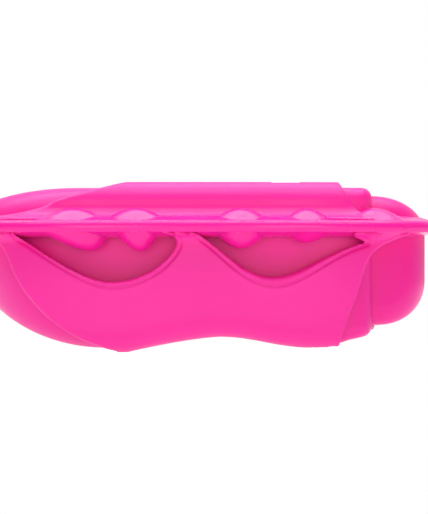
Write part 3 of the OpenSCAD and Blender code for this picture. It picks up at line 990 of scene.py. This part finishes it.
class CUP_OT_mouth_lip(Step, bpy.types.Operator):
    """Draw the sealing bead round the mouth"""

    bl_idname = "cup.mouth_lip"
    bl_label = "Mouth Lip"

    def build(self, sizes):
        angles = np.linspace(0, 2 * np.pi, 160, endpoint=False)
        c, s = np.cos(angles), np.sin(angles)
        bead = sizes.bead / MM
        middle = (reach("mouth_lip", 0, 0) + reach("mouth_lip", 1, 0)) / 2
        x = middle + (reach("mouth_lip", 1, 0) - middle - bead) * np.sign(c) * np.abs(c) ** (2 / MOUTH_POWER)
        y = (reach("mouth_lip", 1, 1) - bead) * np.sign(s) * np.abs(s) ** (2 / MOUTH_POWER)
        # The bead follows the cup's foot, 0.15 mm under it.
        z = np.interp(x, *zip((-20, 3.4), *CUP_SOLE)) - 0.15
        piece = grown(
            "mouth_bead", wire_tree(), {"Radius": sizes.bead, "Sides": 20, "Material": finish_of("silicone_inner")},
            list(zip(x, y, z)), loop_of(len(x)))
        dress(piece, "silicone_inner", "mouth_lip")


class CUP_OT_thumb_pad(Step, bpy.types.Operator):
    """Turn the thumb pad and the thin diaphragm that seals it"""

    bl_idname = "cup.thumb_pad"
    bl_label = "Thumb Pad"

    def build(self, sizes):
        top = reach("thumb_pad", 1, 2)
        foot = reach("thumb_pad", 0, 2)
        # The pad's stem, and the diaphragm that grips it.
        core = 8.2
        pad = turned("thumb_pad_skin", PAD_X, [(0, foot)] + softened(
            [(0, foot), (core, foot), (core, top - 2.1), (PAD_R, top - 2.1), (PAD_R, top),
             (PAD_R - 2.2, top), (PAD_R - 5, top - 0.35), (0, top - 0.5)], 0.6)[1:])
        dress(pad, "silicone_body", "thumb_pad", body="pad")
        high = reach("pad_diaphragm", 1, 2)
        low = reach("pad_diaphragm", 0, 2)
        out = reach("pad_diaphragm", 1, 0) - PAD_X
        cone = turned("pad_diaphragm_skin", PAD_X, softened(
            [(core, low), (9, low), (11.7, high - 0.8), (out, high - 0.8), (out, high), (11.9, high),
             (9, low + 1.6), (core, low + 1.6)], 0.35))
        dress(cone, "silicone_inner", "pad_diaphragm", body=None)
        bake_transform(cone)


class CUP_OT_release_valve(Step, bpy.types.Operator):
    """Turn the release valve's button, stem, seat and flap, and wind its spring"""

    bl_idname = "cup.release_valve"
    bl_label = "Release Valve"

    def build(self, sizes):
        seat_top, seat_foot = reach("valve_seat", 1, 2), reach("valve_seat", 0, 2)
        button_top, button_foot = reach("valve_button", 1, 2), reach("valve_button", 0, 2)
        spring_low, spring_high = reach("valve_spring", 0, 2), reach("valve_spring", 1, 2)
        flap_top, flap_foot = reach("valve_flap", 1, 2), reach("valve_flap", 0, 2)
        seat = turned("valve_seat_skin", VALVE_X, softened(
            [(1.3, seat_foot), (5, seat_foot), (5, seat_foot + 1), (3.6, seat_foot + 1), (3.6, seat_top),
             (2.5, seat_top), (2.5, spring_low - 0.05), (1.3, spring_low - 0.05)], 0.2))
        dress(seat, "silicone_inner", "valve_seat")
        dome = [(2.1 * math.cos(t), button_top - 0.55 + 0.55 * math.sin(t)) for t in np.linspace(0, math.pi / 2, 10)]
        button = turned(
            "valve_button_skin", VALVE_X, [(0, button_foot), (1.9, button_foot), (2.1, button_foot + 0.2)] + dome)
        dress(button, "silicone_body", "valve_button", body="valve")
        flap = turned("valve_flap_skin", VALVE_X, softened(
            [(0, flap_foot), (2.6, flap_foot), (3.4, flap_foot + 0.6), (3.4, flap_top), (0, flap_top)], 0.2))
        dress(flap, "silicone_inner", "valve_flap", body="valve")
        stem_top, stem_foot = reach("valve_stem", 1, 2), reach("valve_stem", 0, 2)
        stem = turned("valve_stem_pin", VALVE_X, softened(
            [(0, stem_foot), (1.2, stem_foot), (1.2, stem_top), (0, stem_top)], 0.1))
        dress(stem, "valve_steel", "valve_stem", body="valve")
        turns, wire = 4, 0.18
        t = np.linspace(0, 1, turns * 24 + 1)
        radius = reach("valve_spring", 1, 0) - VALVE_X - wire
        path = np.column_stack([
            VALVE_X + radius * np.cos(2 * np.pi * turns * t), radius * np.sin(2 * np.pi * turns * t),
            spring_low + wire + (spring_high - spring_low - 2 * wire) * t])
        spring = grown("valve_spring_wire", wire_tree(), {
            "Radius": wire * MM, "Sides": 12, "Material": finish_of("valve_steel")},
            path.tolist(), [(i, i + 1) for i in range(len(path) - 1)])
        dress(spring, "valve_steel", "valve_spring", body=None)
        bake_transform(spring)


# Each lamp's size and place in metres, and its power in watts.
LAMPS = (
    ("overhead_softbox", (1.0, 0.3), 4.2, (0, 0.1, 0.6)),
    ("front_top_softbox", (1.0, 0.25), 2.8, (0, -0.28, 0.6)),
    ("left_softbox", (0.5, 0.6), 3.2, (-0.38, -1.15, 0.06)),
    ("right_softbox", (0.5, 0.6), 3.2, (0.38, -1.15, 0.06)),
)
LAMP_TARGET = Vector((0, 0, 0.03))


def lamp(name, size, power, place):
    """A soft rectangular studio lamp aimed at the cup."""
    light = bpy.data.lights.new(name, "AREA")
    light.shape = "RECTANGLE"
    light.size, light.size_y = size
    light.energy = power
    holder = bpy.data.objects.new(name, light)
    bpy.context.collection.objects.link(holder)
    holder.location = place
    holder.rotation_euler = (LAMP_TARGET - Vector(place)).to_track_quat("-Z", "Y").to_euler()


def backlit_floor(look):
    """A wide sheet of opal acrylic, lit from behind."""
    half = 9000
    floor = object_from(
        "studio_floor", [(-half, -half, 0), (half, -half, 0), (half, half, 0), (-half, half, 0)], [(0, 1, 2, 3)])
    paint = bpy.data.materials.new("backlit_opal_acrylic")
    tree = emptied(paint)
    coat = add(tree, "ShaderNodeBsdfDiffuse", {"Color": [*look.floor_colour, 1.0]})
    glow = add(tree, "ShaderNodeEmission", {"Color": (1, 1, 1, 1), "Strength": look.floor_glow})
    sheet = add(tree, "ShaderNodeAddShader", {0: coat.outputs[0], 1: glow.outputs[0]})
    add(tree, "ShaderNodeOutputMaterial", {0: sheet.outputs[0]})
    floor.data.materials.append(paint)


def studio_sky(scene):
    """A dim room with a pale ceiling and a bright backdrop. The eye sees it plain white."""
    scene.world = bpy.data.worlds.new("studio_sky")
    tree = emptied(scene.world)
    where = add(tree, "ShaderNodeTexCoord")
    axes = add(tree, "ShaderNodeSeparateXYZ", {0: where.outputs["Generated"]}).outputs
    ceiling = ranged(tree, axes["Z"], (0.3, 0.6), (0.12, 0.4))
    backdrop = ranged(tree, axes["Y"], (0.3, 0.7), (0.0, 0.9))
    skyline = ranged(tree, axes["Z"], (0.08, 0.3), (0.0, 1.1))
    room = calc(tree, "MAXIMUM", ceiling, calc(tree, "MINIMUM", skyline, backdrop))
    ray = add(tree, "ShaderNodeLightPath")
    strength = add(tree, "ShaderNodeMix", {"Factor": ray.outputs["Is Camera Ray"], "A": room, "B": 1.0})
    sky = add(tree, "ShaderNodeBackground", {"Color": (1, 1, 1, 1), "Strength": strength.outputs[0]})
    add(tree, "ShaderNodeOutputWorld", {0: sky.outputs[0]})


def front_camera(scene):
    """A long lens, low over the floor and pitched up a little. Its sizes are in millimetres."""
    camera = bpy.data.cameras.new("front_camera")
    holder = bpy.data.objects.new("front_camera", camera)
    bpy.context.collection.objects.link(holder)
    distance = 2500.0
    frame_height = 128.5
    centre_x, centre_z = 4.75, 23.8
    height = 4.0
    camera.sensor_width = 36.0
    camera.lens = camera.sensor_width * distance / frame_height
    camera.clip_end = 30
    holder.location = (centre_x * MM, -distance * MM, height * MM)
    holder.rotation_euler = (math.pi / 2 + math.atan2(centre_z - height, distance), 0, 0)
    scene.camera = holder


class CUP_OT_stage(bpy.types.Operator):
    """Set the pale floor, the soft lamps, the sky and the camera"""

    bl_idname = "cup.stage"
    bl_label = "Studio Stage"

    def execute(self, context):
        context.scene.view_settings.view_transform = "Standard"
        backlit_floor(context.scene.cup_look)
        studio_sky(context.scene)
        for item in LAMPS:
            lamp(*item)
        front_camera(context.scene)
        return {"FINISHED"}


STEPS = (
    CUP_OT_inner_cup, CUP_OT_body_shells, CUP_OT_saddles, CUP_OT_cover, CUP_OT_rim, CUP_OT_nodules,
    CUP_OT_mouth_lip, CUP_OT_thumb_pad, CUP_OT_release_valve, CUP_OT_stage,
)


class CUP_PT_panel(bpy.types.Panel):
    """Sizes, colours and building steps of the cupping cup"""

    bl_label = "Cupping Cup"
    bl_idname = "CUP_PT_panel"
    bl_space_type = "VIEW_3D"
    bl_region_type = "UI"
    bl_category = "Cupping Cup"

    def draw(self, context):
        column = self.layout.column()
        for group in (context.scene.cup_sizes, context.scene.cup_look):
            for name in group.__annotations__:
                column.prop(group, name)
        for step in STEPS:
            column.operator(step.bl_idname)


CLASSES = (CupSizes, CupLook, *STEPS, CUP_PT_panel)


def register():
    for item in CLASSES:
        bpy.utils.register_class(item)
    bpy.types.Scene.cup_sizes = PointerProperty(type=CupSizes)
    bpy.types.Scene.cup_look = PointerProperty(type=CupLook)


def unregister():
    del bpy.types.Scene.cup_look
    del bpy.types.Scene.cup_sizes
    for item in reversed(CLASSES):
        bpy.utils.unregister_class(item)


def main():
    """Builds every piece in order."""
    register()
    for step in STEPS:
        group, name = step.bl_idname.split(".")
        getattr(getattr(bpy.ops, group), name)()


if __name__ == "__main__":
    main()
